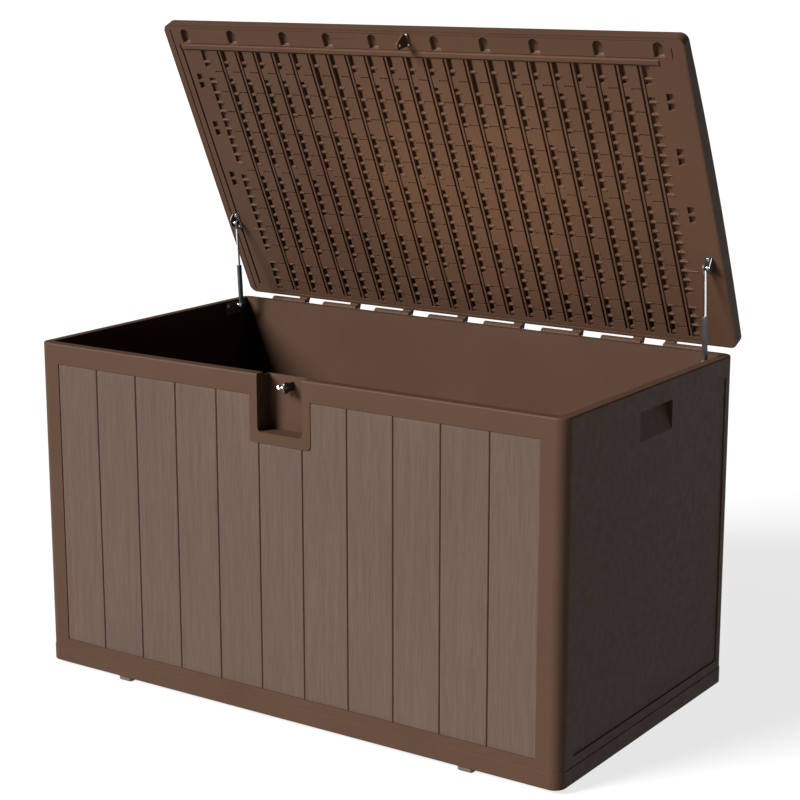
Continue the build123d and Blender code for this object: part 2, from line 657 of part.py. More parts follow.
def lock_fin():
    """Plate that hangs from the lid into the recess, with a hole for the pin."""
    top = LID_UNDER
    front = PIN_Y - FIN_LENGTH / 2
    rear = PIN_Y + FIN_LENGTH / 2
    tip = PIN_Z - FIN_TIP
    high = tip + FIN_SLOPE
    outline = [(front, top), (rear, top), (rear, top - FIN_BEVEL), (PIN_Y + FIN_SHOULDER, high),
               (PIN_Y + FIN_POINT, tip), (PIN_Y - FIN_POINT, tip), (PIN_Y - FIN_SHOULDER, high),
               (front, top - FIN_BEVEL)]
    fin = plate_yz(outline, FIN_LEFT, FIN_RIGHT)
    fin += block(FIN_LEFT, FIN_LEFT + FIN_FLANGE, front, rear, top - FIN_FLANGE_THICKNESS, top)
    fin -= rod_x(FIN_HOLE_RADIUS, FIN_LEFT - 1, FIN_RIGHT + 1, PIN_Y, PIN_Z)
    fin -= [screw_hole(LID_SCREW_RADIUS, LID_SCREW_LENGTH, x, y, top - FIN_FLANGE_THICKNESS, "up")
            for x, y in fin_screw_spots()]
    return fin


def fin_screw_spots():
    x = FIN_RIGHT + (FIN_LEFT + FIN_FLANGE - FIN_RIGHT) / 2
    return [(x, PIN_Y + side * FIN_SCREW_PITCH / 2) for side in (-1, 1)]


# ---------- hinges ----------
def hinge_starts():
    """Left end of each hinge."""
    return evenly(-HALF_LENGTH + HINGE_END_INSET, HALF_LENGTH - HINGE_END_INSET - HINGE_WIDTH, HINGE_COUNT)


def hinge_parts(index):
    """X ranges of a hinge's fixed leaf and of its lid knuckle."""
    start = hinge_starts()[index]
    split = KNUCKLE_WIDTH
    if index == HINGE_COUNT - 1:
        return (start + split, start + HINGE_WIDTH), (start, start + split)
    return (start, start + HINGE_WIDTH - split), (start + HINGE_WIDTH - split, start + HINGE_WIDTH)


def hinge_leaf(index):
    """Leaf screwed to the back wall, with the fixed barrel along its top."""
    (x0, x1), _ = hinge_parts(index)
    # corners near the barrel are placed by shares of its radius
    top = AXIS_Z - BARREL_RADIUS * 0.35
    outline = [(BACK, LEAF_LOW), (BACK + LEAF_THICKNESS, LEAF_LOW + LEAF_BEVEL),
               (BACK + LEAF_THICKNESS, AXIS_Z - BARREL_RADIUS - LEAF_BEVEL),
               (AXIS_Y + BARREL_RADIUS * 0.55, AXIS_Z - BARREL_RADIUS * 0.8), (AXIS_Y, top), (BACK, top)]
    leaf = plate_yz(outline, x0, x1)
    leaf += rod_x(BARREL_RADIUS, x0, x1, AXIS_Y, AXIS_Z)
    leaf -= rod_x(HINGE_PIN_RADIUS, x0 - 1, x1 + 1, AXIS_Y, AXIS_Z)
    leaf -= [screw_hole(LEAF_SCREW_RADIUS, LEAF_THICKNESS, x, BACK + LEAF_THICKNESS, z, "front")
             for x, z in leaf_screw_spots_of(index)]
    return leaf


def leaf_screw_spots_of(index):
    (x0, x1), _ = hinge_parts(index)
    return [(x0 + (x1 - x0) * share, LEAF_LOW + LEAF_SCREW_RISE) for share in LEAF_SCREW_SHARES]


def leaf_screw_spots():
    return [spot for index in range(HINGE_COUNT) for spot in leaf_screw_spots_of(index)]


def leaf_screws():
    return group([screw(LEAF_SCREW_RADIUS, LEAF_SCREW_HEAD, LEAF_SCREW_CAP, LEAF_SCREW_LENGTH,
                        x, BACK + LEAF_THICKNESS, z, "front") for x, z in leaf_screw_spots()])


def lid_knuckle(index):
    """Knuckle screwed to the lid's rear face, turning on the pin."""
    _, (x0, x1) = hinge_parts(index)
    x0 += HINGE_SIDE_GAP
    x1 -= HINGE_SIDE_GAP
    low = LID_UNDER + LID_LEAF_RISE
    high = low + LID_LEAF_HEIGHT
    web = high - 2 * KNUCKLE_SCREW_DROP
    outline = [(LID_REAR, low), (LID_REAR, high), (LID_REAR + LID_LEAF_THICKNESS, high),
               (LID_REAR + LID_LEAF_THICKNESS, web),
               (AXIS_Y + BARREL_RADIUS * 0.6, AXIS_Z + BARREL_RADIUS * 0.6),
               (AXIS_Y, AXIS_Z - BARREL_RADIUS * 0.3),
               (AXIS_Y - BARREL_RADIUS * 0.8, AXIS_Z + BARREL_RADIUS * 0.3)]
    knuckle = plate_yz(outline, x0, x1) + rod_x(BARREL_RADIUS, x0, x1, AXIS_Y, AXIS_Z)
    knuckle -= rod_x(HINGE_PIN_RADIUS + HINGE_PIN_GAP, x0 - 1, x1 + 1, AXIS_Y, AXIS_Z)
    knuckle -= knuckle_screw_hole(index, LID_LEAF_THICKNESS)
    return knuckle


def knuckle_screw_place(index):
    _, (x0, x1) = hinge_parts(index)
    return (x0 + x1) / 2, LID_UNDER + LID_LEAF_RISE + LID_LEAF_HEIGHT - KNUCKLE_SCREW_DROP


def knuckle_screw_hole(index, depth):
    x, z = knuckle_screw_place(index)
    return screw_hole(LID_SCREW_RADIUS, depth, x, LID_REAR + LID_LEAF_THICKNESS, z, "front")


def knuckle_screws():
    screws = []
    for index in range(HINGE_COUNT):
        x, z = knuckle_screw_place(index)
        screws.append(screw(LID_SCREW_RADIUS, KNUCKLE_SCREW_HEAD, KNUCKLE_SCREW_CAP,
                            LID_SCREW_LENGTH, x, LID_REAR + LID_LEAF_THICKNESS, z, "front"))
    return group(screws)


def hinge_pins():
    """One headed pin through each hinge."""
    pins = []
    for index in range(HINGE_COUNT):
        (leaf0, leaf1), (lid0, lid1) = hinge_parts(index)
        left = min(leaf0, lid0)
        right = max(leaf1, lid1)
        pin = rod_x(HINGE_PIN_RADIUS, left - HINGE_PIN_END, right + HINGE_PIN_END, AXIS_Y, AXIS_Z)
        # the head is on the fixed leaf's side
        head = left if leaf0 < lid0 else right + HINGE_PIN_HEAD
        pin += rod_x(HINGE_PIN_HEAD_RADIUS, head - HINGE_PIN_HEAD, head, AXIS_Y, AXIS_Z)
        pins.append(pin)
    return group(pins)


# ---------- lid ----------
def lid_body(inset, under, edge_height, radius):
    """Solid lid shape, closed: rounded corners and a crowned top."""
    half = LID_HALF - inset
    front = LID_FRONT + inset
    rear = LID_REAR - inset
    high = under + edge_height + LID_CROWN
    body = slab(2 * half, rear - front, max(LID_CORNER_RADIUS - inset, 2), LID_MIDDLE_Y, under, high)
    # the crown's arc runs a little past the front and rear faces
    edge = under + edge_height
    margin = 2.0
    reach = LID_DEPTH / 2 + margin
    low = edge - LID_CROWN * ((reach / (LID_DEPTH / 2)) ** 2 - 1)
    start = -half - 1
    crown = ThreePointArc((start, LID_MIDDLE_Y - reach, low), (start, LID_MIDDLE_Y, edge + LID_CROWN),
                          (start, LID_MIDDLE_Y + reach, low))
    side = Polyline((start, LID_MIDDLE_Y + reach, low), (start, LID_MIDDLE_Y + reach, under - 1),
                    (start, LID_MIDDLE_Y - reach, under - 1), (start, LID_MIDDLE_Y - reach, low))
    profile = make_face([crown, side])
    body = body & extrude(profile, amount=2 * half + 2, dir=(1, 0, 0))
    if radius:
        body = fillet(body.faces().sort_by(Axis.Z)[-1].edges(), radius)
    return body


def lid_top():
    """Top shell with its skirt and cross spars, open below."""
    shell = lid_body(0, LID_UNDER, LID_EDGE_HEIGHT, LID_TOP_RADIUS)
    hollow = lid_body(LID_SKIN, LID_UNDER - 1, LID_EDGE_HEIGHT + 1 - LID_SKIN, 0)
    # spars stay in the hollow, above the liner
    reach = LID_HALF - LID_SKIN - SPAR_INSET
    low = LID_UNDER + LINER_ROOM + LINER_GAP
    spars = [block(x - SPAR_THICKNESS / 2, x + SPAR_THICKNESS / 2, LID_FRONT, LID_REAR,
                   low, LID_UNDER + LID_EDGE_HEIGHT + LID_CROWN) for x in evenly(-reach, reach, SPAR_COUNT)]
    shell = shell - (hollow - spars)
    # solid block in the skirt behind each knuckle's screw
    half = SCREW_BLOCK_WIDTH / 2
    shell += [block(x - half, x + half, LID_REAR - SCREW_BLOCK_DEPTH, LID_REAR - LID_SKIN / 2, low,
                    LID_UNDER + LID_EDGE_HEIGHT - SCREW_BLOCK_DROP)
              for x, _ in (knuckle_screw_place(i) for i in range(HINGE_COUNT))]
    return shell - [knuckle_screw_hole(i, LID_SCREW_LENGTH) for i in range(HINGE_COUNT)]


def rib_places():
    """X of each thin rib under the lid."""
    return evenly(-LID_HALF + LINER_RIB_LEFT, LID_HALF - LINER_RIB_RIGHT, LINER_RIB_COUNT)


def lid_liner():
    """Underside panel with locating bead, thin ribs and front slots."""
    inset = LID_SKIN + LINER_GAP
    top = LID_UNDER + LINER_THICKNESS
    liner = slab(2 * (LID_HALF - inset), LID_DEPTH - 2 * inset, LID_CORNER_RADIUS - inset,
                 LID_MIDDLE_Y, LID_UNDER, top)
    side = LID_HALF - BEAD_SIDE
    front = LID_FRONT + BEAD_FRONT
    rear = LID_REAR - BEAD_REAR
    bead = block(-side, side, front, rear, LID_UNDER - BEAD_HEIGHT, LID_UNDER)
    bead -= block(-side + BEAD_WIDTH, side - BEAD_WIDTH, front + BEAD_WIDTH, rear - BEAD_WIDTH,
                  LID_UNDER - BEAD_HEIGHT - 1, LID_UNDER + 1)
    # the bead stops at the strut brackets
    y, _ = LID_PIVOT_CLOSED
    half = LID_BRACKET_LENGTH / 2 + BEAD_BREAK
    bead -= [block(sx * side - 1.5 * BEAD_WIDTH, sx * side + 1.5 * BEAD_WIDTH, y - half, y + half,
                   LID_UNDER - BEAD_HEIGHT - 1, LID_UNDER + 1) for sx in (-1, 1)]
    ribs = [block(x - LINER_RIB_WIDTH / 2, x + LINER_RIB_WIDTH / 2, front + BEAD_WIDTH + LINER_RIB_MARGIN,
                  rear - BEAD_WIDTH - LINER_RIB_MARGIN, LID_UNDER - LINER_RIB_HEIGHT, LID_UNDER + 1)
            for x in rib_places()]
    liner = liner + bead + ribs
    slots = []
    for spot in SLOT_SPOTS:
        for side_sign in (-1, 1):
            x = side_sign * spot * LID_HALF
            outline = Pos(x, LID_FRONT + SLOT_FRONT + SLOT_LENGTH / 2, LID_UNDER - 1)
            slots.append(extrude(outline * SlotOverall(SLOT_LENGTH, SLOT_WIDTH, rotation=90),
                                 amount=LINER_THICKNESS + 2))
    holes = [screw_hole(LID_SCREW_RADIUS, LID_SCREW_LENGTH, x, y, LID_UNDER, "up")
             for x, y in fin_screw_spots() + lid_bracket_screw_spots()]
    return liner - slots - holes


# ---------- gas struts ----------
def strut_ends():
    """Body pivot, open lid pivot, length and tilt of the open strut."""
    by, bz = BODY_PIVOT
    ly, lz = open_point(*LID_PIVOT_CLOSED)
    length = math.hypot(ly - by, lz - bz)
    tilt = math.degrees(math.atan2(-(ly - by), lz - bz))
    return by, bz, ly, lz, length, tilt


def along_strut(shape, side):
    """Move a piece modelled up the Z axis from the body pivot onto the open strut."""
    by, bz, _, _, _, tilt = strut_ends()
    return Pos(side * STRUT_X, by, bz) * Rot(tilt, 0, 0) * shape


def strut_body_bracket(side):
    """Plate on the wall's inner face that carries the lower ball."""
    by, bz = BODY_PIVOT
    middle = by - BRACKET_FORWARD
    half = BRACKET_LENGTH / 2 - BRACKET_FORWARD
    plate = block(INNER_X - BRACKET_THICKNESS, INNER_X, middle - half, middle + half,
                  RIM - BRACKET_DROP - BRACKET_HEIGHT, RIM - BRACKET_DROP)
    plate = fillet(plate.edges().filter_by(Axis.X), BRACKET_RADIUS)
    plate -= rod_x(BALL_NECK, INNER_X - BRACKET_THICKNESS - 1, INNER_X + 1, by, bz)
    plate = mirrored(plate, side)
    return plate - bracket_screw_holes(side)


def bracket_screw_spots():
    by, bz = BODY_PIVOT
    middle = by - BRACKET_FORWARD
    return [(middle + sign * BRACKET_SCREW_PITCH / 2, bz) for sign in (-1, 1)]


def bracket_screw_holes(side):
    toward = "right" if side > 0 else "left"
    return [screw_hole(BRACKET_SCREW_RADIUS, BRACKET_SCREW_LENGTH, side * (INNER_X - BRACKET_THICKNESS),
                       y, z, toward) for y, z in bracket_screw_spots()]


def bracket_screws():
    screws = []
    for side, toward in ((-1, "left"), (1, "right")):
        for y, z in bracket_screw_spots():
            screws.append(screw(BRACKET_SCREW_RADIUS, BRACKET_SCREW_HEAD, BRACKET_SCREW_CAP,
                                BRACKET_SCREW_LENGTH, side * (INNER_X - BRACKET_THICKNESS), y, z, toward))
    return group(screws)


def strut_body_ball(side):
    """Ball stud riveted into the body bracket."""
    by, bz = BODY_PIVOT
    stud = rod_x(BALL_NECK, STRUT_X, INNER_X - SLIDE_GAP, by, bz)
    stud += rod_x(BALL_COLLAR, STRUT_X + SOCKET_RADIUS, INNER_X - BRACKET_THICKNESS, by, bz)
    stud += ball_x(BALL_RADIUS, STRUT_X, by, bz)
    return mirrored(stud, side)


def strut_cylinder(side):
    """Gas cylinder tube, closed below and open at the top."""
    tube = rod_z(CYLINDER_RADIUS, CYLINDER_START, CYLINDER_END, 0, 0)
    tube = fillet(tube.edges().filter_by(GeomType.CIRCLE), CYLINDER_ROUNDING)
    inner = CYLINDER_RADIUS - CYLINDER_WALL
    tube -= rod_z(inner, CYLINDER_START + CYLINDER_FLOOR, CYLINDER_END + 1, 0, 0)
    return along_strut(tube, side)


def strut_gland(side):
    """Seal and rod guide in the mouth of the cylinder."""
    inner = CYLINDER_RADIUS - CYLINDER_WALL
    gland = rod_z(inner, CYLINDER_END - GLAND_LENGTH, CYLINDER_END, 0, 0)
    gland -= rod_z(ROD_RADIUS + ROD_GAP, CYLINDER_END - GLAND_LENGTH - 1, CYLINDER_END + 1, 0, 0)
    return along_strut(gland, side)


def strut_lower_socket(side):
    """Ball socket at the foot of the cylinder, open towards the wall."""
    body = rod_x(SOCKET_RADIUS, -SOCKET_HALF, SOCKET_HALF, 0, 0)
    body = chamfer(body.edges().filter_by(GeomType.CIRCLE), SOCKET_BEVEL)
    body += rod_z(CYLINDER_RADIUS - 1, 0, CYLINDER_START, 0, 0)
    body -= Sphere(BALL_RADIUS + SOCKET_GAP)
    body -= rod_x(BALL_RADIUS * 0.8, 0, SOCKET_RADIUS + 1, 0, 0)
    return along_strut(body if side > 0 else mirror(body, about=Plane.YZ), side)


def strut_rod(side):
    """Polished rod from the piston to the upper socket."""
    _, _, _, _, length, _ = strut_ends()
    return along_strut(rod_z(ROD_RADIUS, PISTON_MIDDLE, length - SOCKET_RADIUS + 1, 0, 0), side)


def strut_piston(side):
    """Piston on the rod's lower end."""
    piston = rod_z(CYLINDER_RADIUS - CYLINDER_WALL - PISTON_GAP, PISTON_MIDDLE - PISTON_LENGTH / 2,
                   PISTON_MIDDLE + PISTON_LENGTH / 2, 0, 0)
    piston -= rod_z(ROD_RADIUS, PISTON_MIDDLE, PISTON_MIDDLE + PISTON_LENGTH, 0, 0)
    return along_strut(piston, side)


def lid_ball_x():
    """X of the lid's ball, just outside the rod's socket."""
    return STRUT_X + SOCKET_RADIUS * 0.25 + OPEN_PIVOT_GAP + BALL_RADIUS * 0.6


def strut_upper_socket(side):
    """Socket at the head of the rod, lying beside the lid's ball."""
    _, _, _, _, length, _ = strut_ends()
    face = lid_ball_x() - STRUT_X - OPEN_PIVOT_GAP
    cup = Pos(0, 0, length) * rod_x(SOCKET_RADIUS, -SOCKET_HALF, face - BALL_RADIUS, 0, 0)
    cup = chamfer(cup.edges().filter_by(GeomType.CIRCLE), SOCKET_BEVEL)
    start = length - SOCKET_RADIUS
    neck = rod_z(CYLINDER_RADIUS * 0.8, start - SOCKET_NECK, start + 1, 0, 0)
    neck &= block(-SOCKET_RADIUS, face - BALL_RADIUS, -SOCKET_RADIUS, SOCKET_RADIUS, 0, 2 * length)
    cup += neck
    cup -= rod_z(ROD_RADIUS, 0, start + 1, 0, 0)
    return along_strut(cup if side > 0 else mirror(cup, about=Plane.YZ), side)


def lid_bracket_screw_spots():
    y, _ = LID_PIVOT_CLOSED
    x = INNER_X - LID_BRACKET_INSET - (LID_BRACKET_FOOT + LID_BRACKET_THICKNESS) / 2
    return [(side * x, y + sign * LID_BRACKET_SCREW_PITCH / 2) for side in (-1, 1) for sign in (-1, 1)]


def strut_lid_bracket(side):
    """Angle plate under the lid that carries the upper ball."""
    y, z = LID_PIVOT_CLOSED
    half = LID_BRACKET_LENGTH / 2
    outer = INNER_X - LID_BRACKET_INSET
    low = LID_UNDER - LID_BRACKET_THICKNESS
    foot = block(outer - LID_BRACKET_FOOT, outer, y - half, y + half, low, LID_UNDER)
    tip = LID_BRACKET_TAB / 2
    tab = plate_yz([(y - half, LID_UNDER), (y + half, LID_UNDER), (y + tip, z - LID_BRACKET_END),
                    (y - tip, z - LID_BRACKET_END)], outer - LID_BRACKET_THICKNESS, outer)
    bracket = foot + tab - rod_x(BALL_NECK, outer - BRACKET_THICKNESS, outer + 1, y, z)
    bracket = mirrored(bracket, side)
    return bracket - [screw_hole(LID_SCREW_RADIUS, LID_SCREW_LENGTH, x, sy, low, "up")
                      for x, sy in lid_bracket_screw_spots() if x * side > 0]


def strut_lid_ball(side):
    """Ball stud riveted into the lid bracket."""
    y, z = LID_PIVOT_CLOSED
    outer = INNER_X - LID_BRACKET_INSET
    stud = rod_x(BALL_NECK, lid_ball_x(), outer - SLIDE_GAP, y, z)
    stud += ball_x(BALL_RADIUS, lid_ball_x(), y, z)
    return mirrored(stud, side)


def lid_screws():
    """Screws of the fin and of the strut brackets, driven up into the liner."""
    screws = [screw(LID_SCREW_RADIUS, FIN_SCREW_HEAD, FIN_SCREW_CAP, LID_SCREW_LENGTH, x, y,
                    LID_UNDER - FIN_FLANGE_THICKNESS, "up") for x, y in fin_screw_spots()]
    screws += [screw(LID_SCREW_RADIUS, LID_SCREW_HEAD, LID_SCREW_CAP, LID_SCREW_LENGTH, x, y,
                     LID_UNDER - LID_BRACKET_THICKNESS, "up") for x, y in lid_bracket_screw_spots()]
    return group(screws)


# ---------- build ----------
def build():
    """Write every node in the open position."""
    ring = wall_ring()
    save(base_tray(), "base_tray")
    save(base_feet(), "base_feet")
    wall = front_wall(ring)
    save(front_section(wall, -HALF_LENGTH, -SECTION_SEAM), "front_panel_left")
    save(front_section(wall, -SECTION_SEAM, SECTION_SEAM), "front_panel_middle")
    save(front_section(wall, SECTION_SEAM, HALF_LENGTH), "front_panel_right")
    save(back_panel(ring), "back_panel")
    save(side_panel(ring, -1), "left_panel")
    save(side_panel(ring, 1), "right_panel")
    save(panel_keys(), "panel_keys")
    save(wall_screws(), "wall_screws")
    save(lock_eye(), "lock_eye")
    save(lock_pin(), "lock_pin")
    save(opened(lock_fin()), "lock_fin")
    save(hinge_pins(), "hinge_pins")
    save(leaf_screws(), "hinge_leaf_screws")
    save(opened(knuckle_screws()), "lid_knuckle_screws")
    for index in range(HINGE_COUNT):
        save(hinge_leaf(index), f"hinge_leaf_{index + 1}")
        save(opened(lid_knuckle(index)), f"lid_knuckle_{index + 1}")
    save(opened(lid_top()), "lid_top")
    save(opened(lid_liner()), "lid_liner")
    save(opened(lid_screws()), "lid_screws")
    save(bracket_screws(), "strut_bracket_screws")
    for side, name in ((-1, "left"), (1, "right")):
        save(strut_body_bracket(side), f"strut_body_bracket_{name}")
        save(strut_body_ball(side), f"strut_body_ball_{name}")
        save(strut_lower_socket(side), f"strut_lower_socket_{name}")
        save(strut_cylinder(side), f"strut_cylinder_{name}")
        save(strut_gland(side), f"strut_gland_{name}")
        save(strut_rod(side), f"strut_rod_{name}")
        save(strut_piston(side), f"strut_piston_{name}")
        save(strut_upper_socket(side), f"strut_upper_socket_{name}")
        save(opened(strut_lid_bracket(side)), f"strut_lid_bracket_{name}")
        save(opened(strut_lid_ball(side)), f"strut_lid_ball_{name}")


build()
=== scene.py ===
import json
import math

import bpy
import numpy as np
from mathutils import Matrix, Vector


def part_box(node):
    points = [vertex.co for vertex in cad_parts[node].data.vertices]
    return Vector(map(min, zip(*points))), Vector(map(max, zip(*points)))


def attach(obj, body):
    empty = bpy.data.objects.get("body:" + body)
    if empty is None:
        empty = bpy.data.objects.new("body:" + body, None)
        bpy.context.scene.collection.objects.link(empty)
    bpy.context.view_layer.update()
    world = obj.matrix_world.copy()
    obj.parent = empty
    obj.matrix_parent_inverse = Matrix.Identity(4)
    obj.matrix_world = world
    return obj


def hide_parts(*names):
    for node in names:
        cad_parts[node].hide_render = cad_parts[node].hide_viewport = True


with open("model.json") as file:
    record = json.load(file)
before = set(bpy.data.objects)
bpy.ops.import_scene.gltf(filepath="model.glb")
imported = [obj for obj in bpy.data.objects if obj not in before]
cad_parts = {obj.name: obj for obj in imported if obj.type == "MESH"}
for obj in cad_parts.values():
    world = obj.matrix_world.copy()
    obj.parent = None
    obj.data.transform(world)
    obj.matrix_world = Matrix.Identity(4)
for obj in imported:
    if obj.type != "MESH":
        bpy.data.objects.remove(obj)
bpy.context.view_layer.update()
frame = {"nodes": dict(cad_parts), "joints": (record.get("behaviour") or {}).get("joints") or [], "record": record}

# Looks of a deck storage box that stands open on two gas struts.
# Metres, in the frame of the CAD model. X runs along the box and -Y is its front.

MM = 0.001

# ---------- places ----------
JOINTS = {joint["name"]: joint for joint in frame["joints"]}
HINGE = Vector(JOINTS["lid_hinge"]["pos_m"])
LID_ANGLE = math.radians(JOINTS["lid_hinge"]["range_deg"][1])
OPEN_LID = (Matrix.Translation(HINGE) @ Matrix.Rotation(-LID_ANGLE, 4, "X")
            @ Matrix.Translation(-HINGE))


def closed_box(node):
    """Lowest and highest corners of a lid node, as it lies with the lid shut."""
    shut = OPEN_LID.inverted()
    points = np.array([shut @ vertex.co for vertex in frame["nodes"][node].data.vertices])
    return points.min(0), points.max(0)


# ---------- mesh helpers ----------
def make_piece(name, points, faces, material):
    """Mesh object from points and faces."""
    mesh = bpy.data.meshes.new(name)
    mesh.from_pydata([tuple(p) for p in points], [], [tuple(f) for f in faces])
    mesh.validate()
    mesh.materials.append(material)
    mesh.polygons.foreach_set("use_smooth", [False] * len(mesh.polygons))
    piece = bpy.data.objects.new(name, mesh)
    bpy.context.scene.collection.objects.link(piece)
    return piece


def cell_faces(rows, keep):
    """Quads of a grid of points, wound to face down its third direction."""
    i, j = np.nonzero(keep)
    a = i * rows + j
    return np.stack([a, a + 1, a + rows + 1, a + rows], 1)


def boundary_loops(faces):
    """Closed loops of point numbers round the outside of a patch of quads."""
    edges = {}
    for face in faces.tolist():
        for k in range(4):
            edges[(face[k], face[(k + 1) % 4])] = True
    following = {a: b for a, b in edges if (b, a) not in edges}
    loops = []
    while following:
        start, here = following.popitem()
        loop = [start]
        while here != start:
            loop.append(here)
            here = following.pop(here)
        loops.append(loop)
    return loops


def closed_patch(xs, ys, heights, back, keep=None, bend=None):
    """Solid whose front is a height field over a grid and whose back is flat.

    The front faces down the third direction: heights are measured up from the front,
    and back is the height of the flat side.
    """
    columns, rows = len(xs), len(ys)
    keep = np.ones((columns - 1, rows - 1), bool) if keep is None else keep
    px, py = np.meshgrid(xs, ys, indexing="ij")
    if bend:
        px, py = bend(px, py)
    front = np.stack([px, py, heights], -1).reshape(-1, 3)
    faces = cell_faces(rows, keep)
    used = np.unique(faces)
    number = np.full(len(front), -1)
    number[used] = np.arange(len(used))
    faces = number[faces]
    points = front[used]
    polygons = faces.tolist()
    for loop in boundary_loops(faces):
        base = len(points)
        rim = points[loop].copy()
        rim[:, 2] = back
        points = np.concatenate([points, rim])
        size = len(loop)
        polygons += [[loop[(k + 1) % size], loop[k], base + k, base + (k + 1) % size]
                     for k in range(size)]
        polygons.append([base + k for k in range(size)][::-1])
    return points, polygons


def joined(parts):
    """Several (points, faces) pairs as one."""
    points, faces, base = [], [], 0
    for part_points, part_faces in parts:
        points.append(np.asarray(part_points))
        faces += [[base + k for k in face] for face in part_faces]
        base += len(part_points)
    return np.concatenate(points), faces


def ramp(values, low, high, slope):
    """1 between low and high, falling to 0 over the slope inside each end."""
    rise = np.minimum(values - low, high - values) / slope
    return np.clip(rise, 0, 1)


def relief(xs, ys, recesses, ridges):
    """Heights of rectangles cut into a plane and of rectangles that stand out of it."""
    deep = np.zeros((len(xs), len(ys)))
    proud = np.zeros_like(deep)
    for table, field in ((recesses, deep), (ridges, proud)):
        for x0, x1, y0, y1, size, slope in table:
            i0, i1 = np.searchsorted(xs, [x0 - 1e-7, x1 + 1e-7])
            j0, j1 = np.searchsorted(ys, [y0 - 1e-7, y1 + 1e-7])
            part = size * np.minimum(ramp(xs[i0:i1], x0, x1, slope)[:, None],
                                     ramp(ys[j0:j1], y0, y1, slope)[None, :])
            field[i0:i1, j0:j1] = np.maximum(field[i0:i1, j0:j1], part)
    return deep - proud


def grid_lines(first, last, spans, extra=()):
    """Grid lines at both ends of each span's slopes."""
    lines = [first, last] + list(extra)
    for low, high, slope in spans:
        lines += [low, low + slope, high - slope, high]
    lines = np.array(sorted(line for line in lines if first - 1e-9 <= line <= last + 1e-9))
    return lines[np.concatenate([[True], np.diff(lines) > 5e-5])]


def lattice_noise(u, v, cell_u, cell_v, rng):
    """Smooth noise from 0 to 1 over a grid of cells."""
    gu, gv = u / cell_u, v / cell_v
    iu, iv = np.floor(gu).astype(int), np.floor(gv).astype(int)
    iu -= iu.min()
    iv -= iv.min()
    table = rng.random_sample((iu.max() + 2, iv.max() + 2))
    fu, fv = gu - np.floor(gu), gv - np.floor(gv)
    fu, fv = fu * fu * (3 - 2 * fu), fv * fv * (3 - 2 * fv)
    low = table[iu, iv] * (1 - fu) + table[iu + 1, iv] * fu
    high = table[iu, iv + 1] * (1 - fu) + table[iu + 1, iv + 1] * fu
    return low * (1 - fv) + high * fv


# ---------- materials ----------
def srgb(red, green, blue):
    """Linear colour of an 8-bit screen colour."""
    def linear(value):
        value /= 255
        return value / 12.92 if value <= 0.04045 else ((value + 0.055) / 1.055) ** 2.4
    return (linear(red), linear(green), linear(blue), 1)


class Nodes:
    """Short ways to add and join shader nodes."""

    def __init__(self, name):
        self.material = bpy.data.materials.new(name)
        self.material.use_nodes = True
        self.tree = self.material.node_tree
        self.shader = self.tree.nodes["Principled BSDF"]
        self.place = self.add("ShaderNodeTexCoord").outputs["Object"]

    def add(self, kind, **values):
        node = self.tree.nodes.new(kind)
        for key, value in values.items():
            setattr(node, key, value)
        return node

    def join(self, source, target):
        self.tree.links.new(source, target)

    def stretched(self, scale):
        node = self.add("ShaderNodeMapping")
        node.inputs["Scale"].default_value = scale
        self.join(self.place, node.inputs["Vector"])
        return node.outputs["Vector"]

    def noise(self, scale, detail=2.0, roughness=0.5, vector=None):
        node = self.add("ShaderNodeTexNoise")
        node.inputs["Scale"].default_value = scale
        node.inputs["Detail"].default_value = detail
        node.inputs["Roughness"].default_value = roughness
        self.join(self.place if vector is None else vector, node.inputs["Vector"])
        return node.outputs["Fac"]

    def between(self, source, low, high, to_low=0.0, to_high=1.0):
        node = self.add("ShaderNodeMapRange")
        for key, value in (("From Min", low), ("From Max", high), ("To Min", to_low), ("To Max", to_high)):
            node.inputs[key].default_value = value
        self.join(source, node.inputs["Value"])
        return node.outputs["Result"]

    def blend_colour(self, factor, first, second):
        node = self.add("ShaderNodeMix", data_type="RGBA")
        self.join(factor, node.inputs["Factor"])
        for key, value in ((6, first), (7, second)):
            if isinstance(value, tuple):
                node.inputs[key].default_value = value
            else:
                self.join(value, node.inputs[key])
        return node.outputs[2]

    def math(self, operation, first, second):
        node = self.add("ShaderNodeMath", operation=operation)
        for key, value in ((0, first), (1, second)):
            if isinstance(value, (int, float)):
                node.inputs[key].default_value = value
            else:
                self.join(value, node.inputs[key])
        return node.outputs[0]

    def bump(self, height, strength, distance, under=None):
        node = self.add("ShaderNodeBump")
        node.inputs["Strength"].default_value = strength
        node.inputs["Distance"].default_value = distance
        self.join(height, node.inputs["Height"])
        if under is not None:
            self.join(under, node.inputs["Normal"])
        return node.outputs["Normal"]

    def colour(self, source):
        self.join(source, self.shader.inputs["Base Color"])

    def roughness(self, source):
        self.join(source, self.shader.inputs["Roughness"])

    def normal(self, source):
        self.join(source, self.shader.inputs["Normal"])

    def set(self, **values):
        for key, value in values.items():
            self.shader.inputs[key.replace("_", " ")].default_value = value


def shade(colour, amount):
    """The colour made lighter or darker."""
    return tuple(c * amount for c in colour[:3]) + (1,)


